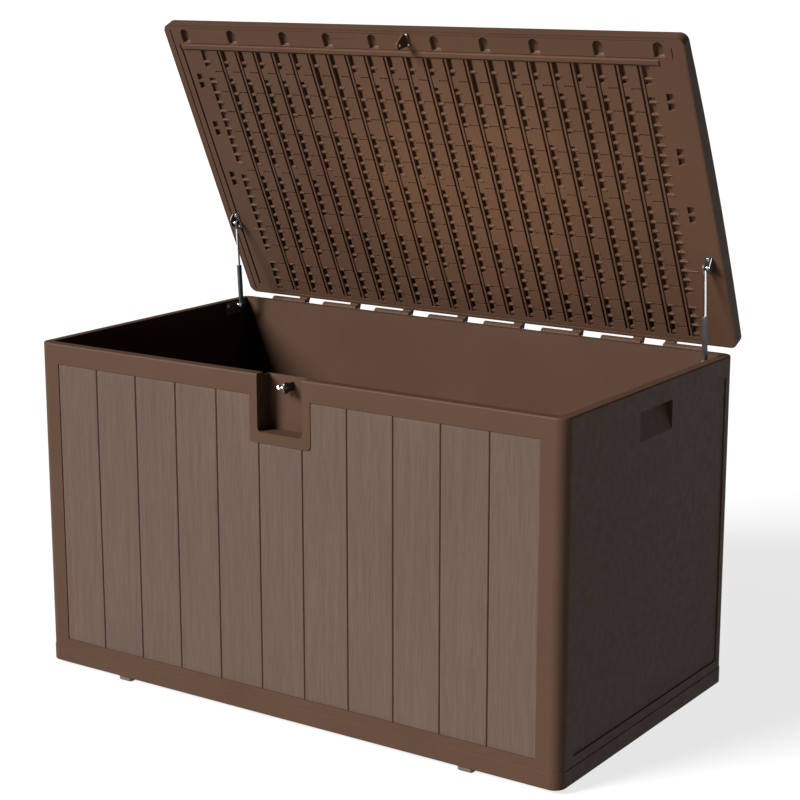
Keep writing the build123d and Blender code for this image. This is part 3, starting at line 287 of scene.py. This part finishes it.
def moulded_plastic(name, colour, rough=0.52, grain=0.35):
    """Matt moulded resin: slight mottling, a fine spark texture and dusty high spots."""
    n = Nodes(name)
    mottle = n.between(n.noise(5.0, 4.0, 0.6), 0.3, 0.7)
    fleck = n.between(n.noise(420.0, 3.0, 0.7), 0.35, 0.65)
    base = n.blend_colour(mottle, shade(colour, 0.92), shade(colour, 1.08))
    n.colour(n.blend_colour(n.math("MULTIPLY", fleck, 0.16), base, shade(colour, 1.35)))
    n.roughness(n.between(n.noise(60.0, 3.0, 0.6), 0.3, 0.7, rough - 0.06, rough + 0.07))
    coarse = n.bump(n.noise(140.0, 2.0), 0.12, 0.0006)
    n.normal(n.bump(n.noise(1500.0, 2.0, 0.6), grain, 0.00012, coarse))
    n.set(Specular_IOR_Level=0.06)
    return n.material


def board_plastic(name, colour, rough=0.58):
    """Resin boards with embossed grain: long pores, paler ridges and slow drifts of tone."""
    n = Nodes(name)
    squeeze = (1.0, 1.0, 0.045)   # drawn out along the board
    fibre = n.noise(420.0, 3.0, 0.65, n.stretched(squeeze))
    wide = n.noise(90.0, 2.0, 0.5, n.stretched(squeeze))
    drift = n.between(n.noise(3.2, 3.0, 0.5), 0.3, 0.7)
    tone = n.blend_colour(drift, shade(colour, 0.94), shade(colour, 1.06))
    mixed = n.math("ADD", n.math("MULTIPLY", fibre, 0.6), n.math("MULTIPLY", wide, 0.4))
    streak = n.between(mixed, 0.36, 0.64)
    n.colour(n.blend_colour(streak, n.blend_colour(drift, shade(colour, 0.74), shade(colour, 0.8)), tone))
    n.roughness(n.between(fibre, 0.3, 0.7, rough + 0.1, rough - 0.06))
    broad = n.bump(wide, 0.3, 0.0009)
    fine = n.bump(fibre, 0.45, 0.0005, broad)
    n.normal(n.bump(n.noise(1600.0, 2.0), 0.2, 0.0001, fine))
    n.set(Specular_IOR_Level=0.07)
    return n.material


def coated_steel(name, colour):
    """Black satin coating with a light orange-peel surface."""
    n = Nodes(name)
    n.colour(n.blend_colour(n.between(n.noise(90.0, 3.0), 0.35, 0.7), colour, shade(colour, 1.8)))
    n.roughness(n.between(n.noise(240.0, 3.0), 0.3, 0.7, 0.28, 0.42))
    n.normal(n.bump(n.noise(900.0, 2.0), 0.25, 0.0001))
    n.set(Specular_IOR_Level=0.5, Coat_Weight=0.15, Coat_Roughness=0.25)
    return n.material


def plated_metal(name, colour, smooth, rough):
    """Plated or polished metal with faint drawing marks along its length."""
    n = Nodes(name)
    marks = n.noise(1300.0, 2.0, 0.6, n.stretched((1.0, 1.0, 0.06)))
    n.colour(n.blend_colour(n.between(n.noise(160.0, 3.0), 0.35, 0.65), shade(colour, 0.88), colour))
    n.roughness(n.between(marks, 0.3, 0.7, smooth, rough))
    n.normal(n.bump(marks, 0.08, 0.00005))
    n.set(Metallic=1.0)
    return n.material


def soft_plastic(name, colour):
    """Dull dark plastic of feet and sockets."""
    n = Nodes(name)
    mottle = n.between(n.noise(35.0, 4.0), 0.3, 0.7)
    n.colour(n.blend_colour(mottle, shade(colour, 0.8), shade(colour, 1.25)))
    n.roughness(n.between(n.noise(120.0, 3.0), 0.3, 0.7, 0.55, 0.75))
    n.normal(n.bump(n.noise(700.0, 3.0), 0.3, 0.0002))
    return n.material


FRAME_COLOUR = srgb(51, 36, 27)
BOARD_COLOUR = srgb(64, 51, 44)
LINER_COLOUR = srgb(57, 40, 30)

SLOT_MATERIALS = {
    "wall_plastic": moulded_plastic("frame_resin", FRAME_COLOUR),
    "lid_plastic": moulded_plastic("lid_resin", FRAME_COLOUR),
    "liner_plastic": moulded_plastic("liner_resin", LINER_COLOUR, rough=0.5),
    "foot_plastic": soft_plastic("foot_rubber", srgb(52, 42, 37)),
    "pin_steel": plated_metal("zinc_pin", (0.5, 0.5, 0.5, 1), 0.3, 0.45),
    "screw_steel": plated_metal("zinc_screw", (0.75, 0.75, 0.75, 1), 0.2, 0.34),
    "black_steel": coated_steel("black_coating", (0.012, 0.012, 0.013, 1)),
    "socket_plastic": soft_plastic("black_nylon", srgb(38, 37, 37)),
    "rod_chrome": plated_metal("polished_rod", (0.86, 0.86, 0.84, 1), 0.08, 0.16),
    "chrome_ball": plated_metal("polished_ball", (0.86, 0.86, 0.85, 1), 0.05, 0.12),
}
BOARD_MATERIAL = board_plastic("board_resin_upright", BOARD_COLOUR)


def dress_nodes():
    """Give each CAD node the material of its slot."""
    for subpart in frame["record"]["subparts"]:
        mesh = frame["nodes"][subpart["node"]].data
        mesh.materials.clear()
        mesh.materials.append(SLOT_MATERIALS[subpart["material_slot"]])


# ---------- lid underside ----------
LINER_CORNER = 14.7 * MM
LINER_DEPTH = 10.0 * MM
STRIP_END = 48.8 * MM           # front strip, from the lid's front edge
BEAD = (50.0 * MM, 61.5 * MM)   # raised bead behind the strip
FIELD_START = 64.0 * MM
FIELD_END = 727.0 * MM
RIDGE_END = 712.0 * MM          # ridges stop here, so that the shut lid clears the back wall's rim
FIELD_LINES_FROM = 12.0 * MM    # front end of the outer groove down the left border
LEFT_LINES = (-651.5 * MM, -633.2 * MM)   # two grooves down the left border
RIB_COUNT = 22
RIB_FIRST = -524.0 * MM
RIB_PITCH = 51.75 * MM
RUNG_PITCH = 23.57 * MM
RUNG_WIDTH = 5.6 * MM
RUNG_ANCHOR = 223.9 * MM
LADDER = (5.5 * MM, 15.5 * MM)  # each side of a ladder's pockets, from its rib's centre
RUNG_END = 20.5 * MM            # right end of a rung, from its rib's centre
POCKET_DEPTH = 7.5 * MM
END_POCKET_DEPTH = 0.7 * POCKET_DEPTH
RIB_LEFT = (7.2 * MM, 2.3 * MM, 5.0 * MM)    # groove left of a rib: from, to, depth
RIB_RIGHT = (2.3 * MM, 5.3 * MM, 4.0 * MM)   # groove right of a rib: from, to, depth
RUNG_HALF = 2.2 * MM
RUNG_HEIGHT = 1.3 * MM
RUNG_OVERLAP = 6.0 * MM         # of a rung over its ladder's pockets
FIRST_RUNGS = (93.7 * MM, 147.0 * MM, 175.2 * MM)
END_LADDERS = (-55.0 * MM, -33.0 * MM, 26.0 * MM)   # from the first rib twice, and from the last rib
LONG_RUNG = 554.0 * MM          # the one rung of each end ladder that reaches further
LONG_RUNG_REACH = (16.0 * MM, 20.0 * MM)     # on the left and on the right
PAIR_CENTRES = (145.0 * MM, 272.0 * MM, 411.0 * MM)
PAIR_X = (-607.0 * MM, 617.0 * MM)
PAIR_OFFSET = 11.0 * MM
PAIR_HALF = (7.5 * MM, 8.5 * MM)
LEFT_GROOVES = ((1.6 * MM, 2.6 * MM), (2.3 * MM, 4.5 * MM))   # half width and depth of LEFT_LINES
DRAFT = 0.8 * MM
TILE_FIRST = 116.4 * MM
TILE_PITCH = 53.2 * MM
TILE_LINES = 12
TILE_LINE = 3.4 * MM            # width and depth of a line
TILE_MARGIN = 1.5 * MM          # between a rung's end and the line
SLOT_CENTRES = (81.0, 204.0, 325.0, 475.0, 611.0)
SLOT_SIZE = (22.0 * MM, 35.0 * MM)
# plain stretches between the ladders' pockets, by number, from the front
GAPS = {1: (107.0, 135.0), 2: (232.0, 262.0), 3: (368.0, 397.0), 4: (495.0, 525.0), 5: (613.0, 643.0)}
WIDE_LADDERS = {6, 7, 14, 15}                  # ribs, counted from 1, whose ladders have gaps 2 and 4
OUTER_LADDERS = {1, 2, 3, 10, 11, 12, 19, 20, 21}   # ladders with gaps 1, 3 and 5


def ladder_gaps(rib):
    if rib in WIDE_LADDERS:
        return [2, 4]
    if rib in OUTER_LADDERS:
        return [1, 3, 5]
    return [1, 2, 3, 4, 5]


def rung_places():
    """Distance of each rung from the lid's front edge."""
    return list(FIRST_RUNGS) + [RUNG_ANCHOR + k * RUNG_PITCH for k in range(-1, 22)]


def in_gap(s, gaps):
    return any(GAPS[g][0] * MM < s < GAPS[g][1] * MM for g in gaps)


def ladder_pockets(gaps):
    """(start, end) of each pocket down one ladder."""
    stops = sorted([(GAPS[g][0] * MM, GAPS[g][1] * MM) for g in gaps]
                   + [(s - RUNG_WIDTH / 2, s + RUNG_WIDTH / 2) for s in rung_places()])
    pockets, here = [], FIELD_START
    for low, high in stops + [(FIELD_END, FIELD_END)]:
        if low - here > 4 * MM:
            pockets.append((here, min(low, FIELD_END)))
        here = max(here, high)
    return pockets


def underside_relief():
    """Recesses and ridges of the lid's underside behind the front strip, in (x, s)."""
    recesses, ridges = [], []
    ribs = [RIB_FIRST + k * RIB_PITCH for k in range(RIB_COUNT)]
    tile_starts = [RIB_FIRST - RIB_PITCH + RUNG_END + TILE_MARGIN]
    for number, x in enumerate(ribs, start=1):
        recesses.append((x - RIB_LEFT[0], x - RIB_LEFT[1], FIELD_START, FIELD_END, RIB_LEFT[2], DRAFT))
        recesses.append((x + RIB_RIGHT[0], x + RIB_RIGHT[1], FIELD_START, FIELD_END, RIB_RIGHT[2], DRAFT))
        if number < RIB_COUNT:
            gaps = ladder_gaps(number)
            for low, high in ladder_pockets(gaps):
                recesses.append((x + LADDER[0], x + LADDER[1], low, high, POCKET_DEPTH, DRAFT))
            for s in rung_places():
                if s < RIDGE_END and not in_gap(s, gaps):
                    ridges.append((x + LADDER[1] - RUNG_OVERLAP, x + RUNG_END, s - RUNG_HALF, s + RUNG_HALF,
                                   RUNG_HEIGHT, DRAFT))
            tile_starts.append(x + RUNG_END + TILE_MARGIN)
    for start in tile_starts:
        end = start - RUNG_END - TILE_MARGIN + RIB_PITCH - RIB_LEFT[0]
        for line in range(TILE_LINES):
            s = TILE_FIRST + line * TILE_PITCH
            recesses.append((start, end, s, s + TILE_LINE, TILE_LINE, DRAFT / 2))
    # the two end ladders are wider, with rungs that stand out past them
    left_start, left_end, right_end = END_LADDERS
    for x0, x1 in ((ribs[0] + left_start, ribs[0] + left_end),
                   (ribs[-1] + LADDER[0], ribs[-1] + right_end)):
        for low, high in ladder_pockets([1, 3, 5]):
            recesses.append((x0, x1 - RUNG_OVERLAP, low, high, END_POCKET_DEPTH, DRAFT))
        for s in rung_places():
            if s < RIDGE_END and not in_gap(s, (1, 3, 5)):
                left, right = LONG_RUNG_REACH if abs(s - LONG_RUNG) < RUNG_PITCH / 2 else (0, 0)
                out = (x0 - left, x1) if x0 < 0 else (x0, x1 + right)
                ridges.append((out[0], out[1], s - 2 * MM, s + 2 * MM, 1.0 * MM, DRAFT))
    # pairs of pockets beside the struts
    half_x, half_s = PAIR_HALF
    for s in PAIR_CENTRES:
        for x in PAIR_X:
            for middle in (s - PAIR_OFFSET, s + PAIR_OFFSET):
                recesses.append((x - half_x, x + half_x, middle - half_s, middle + half_s,
                                 POCKET_DEPTH, DRAFT))
    # front bead and the grooves down the left border
    ridges.append((-640 * MM, 608 * MM, BEAD[0], BEAD[1], 2.6 * MM, 1.2 * MM))
    starts, ends = (FIELD_LINES_FROM, STRIP_END), (738 * MM, FIELD_END - 8 * MM)
    for line, (wide, deep), start, end in zip(LEFT_LINES, LEFT_GROOVES, starts, ends):
        recesses.append((line - wide, line + wide, start, end, deep, DRAFT))
    recesses.append((-624 * MM, 560 * MM, BEAD[1], BEAD[1] + 2 * MM, 2.0 * MM, DRAFT / 2))
    recesses.append((-600 * MM, 600 * MM, FIELD_END + 9 * MM, FIELD_END + 11.5 * MM, 1.6 * MM, DRAFT))
    return recesses, ridges


def strip_heights(xs, ss, front):
    """Front strip: ten round-topped slots; the fine lines between them are cut in lid_underside."""
    grid_x, grid_s = np.meshgrid(xs, ss, indexing="ij")
    heights = np.zeros_like(grid_x)
    half_width, length = SLOT_SIZE[0] / 2, SLOT_SIZE[1]
    for spot in SLOT_CENTRES:
        for side in (-1, 1):
            across = np.abs(grid_x - side * spot * MM)
            # distance inside a slot with a round front end
            round_end = front + half_width
            outside = np.hypot(across, np.minimum(grid_s - round_end, 0)) - half_width
            outside = np.maximum(outside, grid_s - (front + length))
            slope = 2.5 * MM
            heights = np.maximum(heights, 9.0 * MM * np.clip(-outside / slope, 0, 1))
    return heights


def lid_underside():
    """Ribbed panel that closes the lid from below."""
    low, high = closed_box("lid_liner")
    top_low, _ = closed_box("lid_top")
    under, front_edge = top_low[2], top_low[1]
    half, front, rear = high[0], low[1], high[1]
    middle_y = (front + rear) / 2
    half_y = (rear - front) / 2

    def rounded(px, py):
        """Bend the grid's square corners onto arcs."""
        y = front_edge + py
        ax = np.abs(px) - (half - LINER_CORNER)
        ay = np.abs(y - middle_y) - (half_y - LINER_CORNER)
        inside = (ax > 0) & (ay > 0)
        reach = np.hypot(ax, ay)
        scale = np.where(inside, np.maximum(ax, ay) / np.where(reach > 0, reach, 1), 1)
        px = np.where(inside, np.sign(px) * (half - LINER_CORNER + ax * scale), px)
        y = np.where(inside, middle_y + np.sign(y - middle_y) * (half_y - LINER_CORNER + ay * scale), y)
        return px, y

    corner_steps = np.linspace(0, LINER_CORNER, 9)
    corner_x = [side * (half - step) for side in (-1, 1) for step in corner_steps]
    first = front - front_edge
    last = rear - front_edge
    # strip
    slot_x = [side * spot * MM + step for spot in SLOT_CENTRES for side in (-1, 1)
              for step in np.linspace(-SLOT_SIZE[0] / 2 - MM, SLOT_SIZE[0] / 2 + MM, 17)]
    line, (wide, deep) = LEFT_LINES[0], LEFT_GROOVES[0]
    strip_recesses = [(line - wide, line + wide, FIELD_LINES_FROM, STRIP_END, deep, DRAFT)]
    strip_recesses.append((638.5 * MM, 641 * MM, 22 * MM, STRIP_END, 1.5 * MM, DRAFT))
    strip_recesses.append((-600 * MM, 630 * MM, 8 * MM, 9.8 * MM, 1.2 * MM, DRAFT / 2))
    strip_recesses.append((-195 * MM, -122 * MM, 22 * MM, 23.8 * MM, 1.2 * MM, DRAFT / 2))
    strip_recesses.append((-600 * MM, 628 * MM, STRIP_END - 2.4 * MM, STRIP_END, 2.2 * MM, DRAFT))
    xs = grid_lines(-half, half, [(r[0], r[1], r[5]) for r in strip_recesses], corner_x + slot_x)
    ss = grid_lines(first, STRIP_END, [(r[2], r[3], r[5]) for r in strip_recesses],
                    list(np.linspace(first, STRIP_END, 22)) + list(first + corner_steps))
    heights = relief(xs, ss, strip_recesses, [])
    heights = np.maximum(heights, strip_heights(xs, ss, first + 8 * MM))
    strip = closed_patch(xs, ss, under + heights, under + LINER_DEPTH, bend=rounded)
    # field
    recesses, ridges = underside_relief()
    table = recesses + ridges
    xs = grid_lines(-half, half, [(r[0], r[1], r[5]) for r in table], corner_x)
    ss = grid_lines(STRIP_END, last, [(r[2], r[3], r[5]) for r in table], list(last - corner_steps))
    heights = relief(xs, ss, recesses, ridges)
    field = closed_patch(xs, ss, under + heights, under + LINER_DEPTH, bend=rounded)
    points, faces = joined([strip, field])
    turned = np.array(OPEN_LID)
    points = points @ turned[:3, :3].T + turned[:3, 3]
    piece = make_piece("lid_underside", points, faces, SLOT_MATERIALS["liner_plastic"])
    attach(piece, "lid")
    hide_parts("lid_liner")


# ---------- boards ----------
FRONT_STILE = 55.0 * MM
BOTTOM_RAIL = 21.0 * MM
TOP_RAIL = 45.0 * MM
FACE_RECESS = 2.2 * MM
BOARD_COUNT = 11
GROOVE = 4.0 * MM
GRAIN_DEPTH = 0.42 * MM
BOARD_SKIN = 0.65 * MM
GRAIN_STEP = (1.0 * MM, 8.0 * MM)
TRIM_HALF = 78.0 * MM
TRIM_DROP = 146.0 * MM          # lower edge of the latch trim below the rim


def grain_height(u, v, seed):
    """Height of embossed wood grain, from 0 in its pores to 1, u across and v along the board."""
    rng = np.random.RandomState(seed)
    mm_u, mm_v = u / MM, v / MM
    heart = rng.uniform(-35, 35)
    start = rng.uniform(-250, 250)
    slope = rng.uniform(0.05, 0.09) * rng.choice([-1, 1])
    wander = 9 * (lattice_noise(mm_u, mm_v, 40, 160, rng) - 0.5)
    ripple = 2.2 * (lattice_noise(mm_u, mm_v, 9, 60, rng) - 0.5)
    depth = 10 + slope * (mm_v - start)
    rings = np.hypot(mm_u - heart + wander, depth) + ripple
    phase = rings / 3.9
    line = 0.5 + 0.5 * np.cos(2 * np.pi * phase)
    pores = lattice_noise(mm_u, mm_v, 1.7, 26, rng)
    strength = 0.35 + 0.65 * lattice_noise(mm_u, mm_v, 30, 120, rng)
    return 1 - np.clip(strength * (0.62 * line ** 2.5 + 0.55 * pores ** 2), 0, 1)


def board_patch(x0, x1, z0, z1, seed, hole=None):
    """One board's face as a closed skin. Heights run back from the front of the skin."""
    columns = np.linspace(x0, x1, max(int(round((x1 - x0) / GRAIN_STEP[0])), 2) + 1)
    rows = np.linspace(z0, z1, max(int(round((z1 - z0) / GRAIN_STEP[1])), 2) + 1)
    keep = None
    if hole:
        columns = np.unique(np.concatenate([columns, [v for v in hole[:2] if x0 < v < x1]]))
        rows = np.unique(np.concatenate([rows, [v for v in hole[2:] if z0 < v < z1]]))
        mid_x = (columns[1:] + columns[:-1]) / 2
        mid_z = (rows[1:] + rows[:-1]) / 2
        covered = ((mid_x > hole[0]) & (mid_x < hole[1]))[:, None] & (mid_z > hole[2])[None, :]
        keep = ~covered
    u, v = np.meshgrid(columns - (x0 + x1) / 2, rows, indexing="ij")
    heights = GRAIN_DEPTH * (1 - grain_height(u, v, seed))
    edge = np.minimum(np.minimum(columns - x0, x1 - columns)[:, None],
                      np.minimum(rows - z0, z1 - rows)[None, :])
    heights = np.maximum(heights, BOARD_SKIN * 0.8 * np.clip(1 - edge / (1.6 * MM), 0, 1))
    return closed_patch(columns, rows, heights, BOARD_SKIN + 0.4 * MM, keep)


def wall_boards(name, half, z0, z1, place, seed, hole=None):
    """Skins of the boards of one wall; place maps (x, z, depth) to the row frame."""
    pitch = 2 * half / BOARD_COUNT
    parts = []
    for i in range(BOARD_COUNT):
        x0 = -half + i * pitch + (GROOVE / 2 if i else 0.3 * MM)
        x1 = -half + (i + 1) * pitch - (GROOVE / 2 if i < BOARD_COUNT - 1 else 0.3 * MM)
        overlaps = hole and x1 > hole[0] and x0 < hole[1]
        whole = overlaps and x0 > hole[0] and x1 < hole[1]
        top = min(z1, hole[2]) if whole else z1
        points, faces = board_patch(x0, x1, z0, top, seed + i, hole if overlaps and not whole else None)
        parts.append((place(points), faces))
    points, faces = joined(parts)
    piece = make_piece(name, points, faces, BOARD_MATERIAL)
    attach(piece, "box")


def front_and_back_boards():
    low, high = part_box("front_panel_left")[0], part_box("front_panel_right")[1]
    back_low, back_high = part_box("back_panel")
    half = high.x - FRONT_STILE
    bottom, top = low.z + BOTTOM_RAIL + 0.3 * MM, high.z - TOP_RAIL - 0.3 * MM

    def front_place(points):
        y = low.y + FACE_RECESS - BOARD_SKIN + points[:, 2]
        return np.stack([points[:, 0], y, points[:, 1]], 1)

    def back_place(points):
        y = back_high.y - FACE_RECESS + BOARD_SKIN - points[:, 2]
        return np.stack([-points[:, 0], y, points[:, 1]], 1)

    hole = (-TRIM_HALF - 0.3 * MM, TRIM_HALF + 0.3 * MM, high.z - TRIM_DROP - 0.3 * MM)
    wall_boards("front_boards", half, bottom, top, front_place, 11, hole)
    leaf_low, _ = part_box("hinge_leaf_1")
    wall_boards("back_boards", half, bottom, leaf_low.z - 8.3 * MM, back_place, 41)


# ---------- studio ----------
FLOOR_HALF = 90.0
GLOW_SPOTS = ((-0.3, 40), (0.05, 330), (0.4, 160))   # place along the lid and watts


def studio():
    """Pale floor, soft light from the front left and the camera."""
    scene = bpy.context.scene
    corners = [(-FLOOR_HALF, -FLOOR_HALF, 0), (FLOOR_HALF, -FLOOR_HALF, 0), (FLOOR_HALF, FLOOR_HALF, 0),
               (-FLOOR_HALF, FLOOR_HALF, 0)]
    floor = make_piece("floor", corners, [(0, 1, 2, 3)], pale_floor())
    scene.world = pale_surroundings()
    scene.view_settings.view_transform = "Standard"
    sun_light("key", (-0.50, -0.85, 0.60), 13.0, 24)
    for x, watts in GLOW_SPOTS:
        glow_light((x - 0.4, -2.3, 0.62), (x, 0.22, 1.13), watts, 17)
    camera = bpy.data.objects.new("camera", bpy.data.cameras.new("camera"))
    camera.location = (2.4028, -3.4799, 1.5983)
    camera.rotation_euler = (math.radians(90 - 12.806), 0, math.radians(34.068))
    camera.data.sensor_width = 36.0
    camera.data.lens = 88.41
    camera.data.clip_end = 400
    scene.collection.objects.link(camera)
    scene.camera = camera


def sun_light(name, toward, strength, spread):
    """Distant soft light that comes from the given direction."""
    light = bpy.data.lights.new(name, "SUN")
    light.energy = strength
    light.angle = math.radians(spread)
    lamp = bpy.data.objects.new(name, light)
    lamp.rotation_euler = Vector(toward).to_track_quat("Z", "Y").to_euler()
    bpy.context.scene.collection.objects.link(lamp)


def glow_light(place, target, watts, cone):
    """Warm spot that lifts the middle of the raised lid."""
    light = bpy.data.lights.new("glow", "SPOT")
    light.energy = watts
    light.color = (1.0, 0.86, 0.62)
    light.spot_size = math.radians(cone)
    light.spot_blend = 1.0
    light.shadow_soft_size = 0.12
    lamp = bpy.data.objects.new("glow", light)
    lamp.location = place
    lamp.rotation_euler = (Vector(place) - Vector(target)).to_track_quat("Z", "Y").to_euler()
    bpy.context.scene.collection.objects.link(lamp)


def pale_floor():
    n = Nodes("pale_floor")
    patches = n.between(n.noise(2.0, 3.0), 0.3, 0.7)
    n.colour(n.blend_colour(patches, (0.12, 0.12, 0.12, 1), (0.13, 0.13, 0.13, 1)))
    n.set(Roughness=0.9, Specular_IOR_Level=0.1, Emission_Color=(1, 1, 1, 1), Emission_Strength=0.78)
    return n.material


def pale_surroundings():
    """Background that is pale at the horizon and dimmer overhead."""
    world = bpy.data.worlds.new("studio")
    world.use_nodes = True
    tree = world.node_tree
    place = tree.nodes.new("ShaderNodeTexCoord")
    parts = tree.nodes.new("ShaderNodeSeparateXYZ")
    height = tree.nodes.new("ShaderNodeMapRange")
    for key, value in (("From Min", 0.02), ("From Max", 0.12), ("To Min", 0.9), ("To Max", 0.06)):
        height.inputs[key].default_value = value
    tree.links.new(place.outputs["Generated"], parts.inputs[0])
    tree.links.new(parts.outputs["Z"], height.inputs["Value"])
    tree.links.new(height.outputs["Result"], tree.nodes["Background"].inputs["Strength"])
    tree.nodes["Background"].inputs["Color"].default_value = (1, 1, 1, 1)
    return world


dress_nodes()
lid_underside()
front_and_back_boards()
studio()
